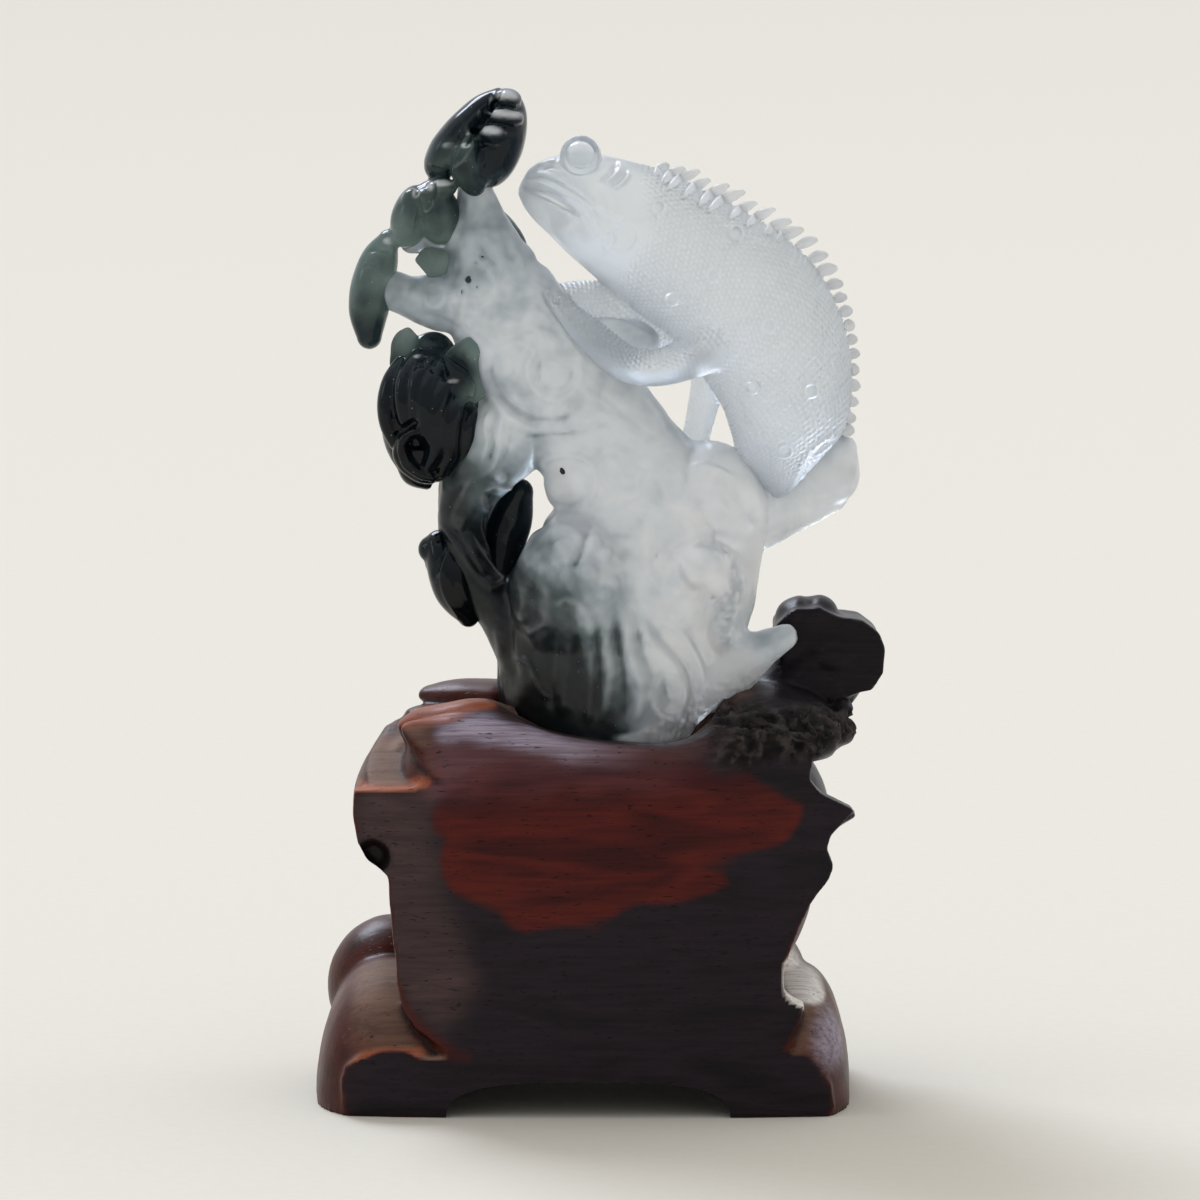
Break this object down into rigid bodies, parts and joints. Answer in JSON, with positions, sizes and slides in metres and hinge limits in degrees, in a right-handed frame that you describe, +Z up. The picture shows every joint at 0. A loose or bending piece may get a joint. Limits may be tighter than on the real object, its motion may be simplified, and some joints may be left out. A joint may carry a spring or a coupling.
{
  "type": "quartz lizard carving on a wood stand",
  "caption": "Crested lizard climbing a fungus-grown tree trunk, carved from one clear to green-black rock crystal and seated in a carved rosewood rock stand.",
  "frame": {"origin": "under the middle of the whole object's box, in the plane that the stand's feet rest on", "axes": "+Z up, +X along the lizard from its snout to its back, -Y towards the side it is seen from"},
  "size_m": [0.1446, 0.083, 0.2524],
  "materials": {
    "quartz": "satin",
    "rosewood": "satin"
  },
  "bodies": {
    "root": {"quartz_carving": "quartz", "wood_stand": "rosewood"}
  },
  "joints": []
}
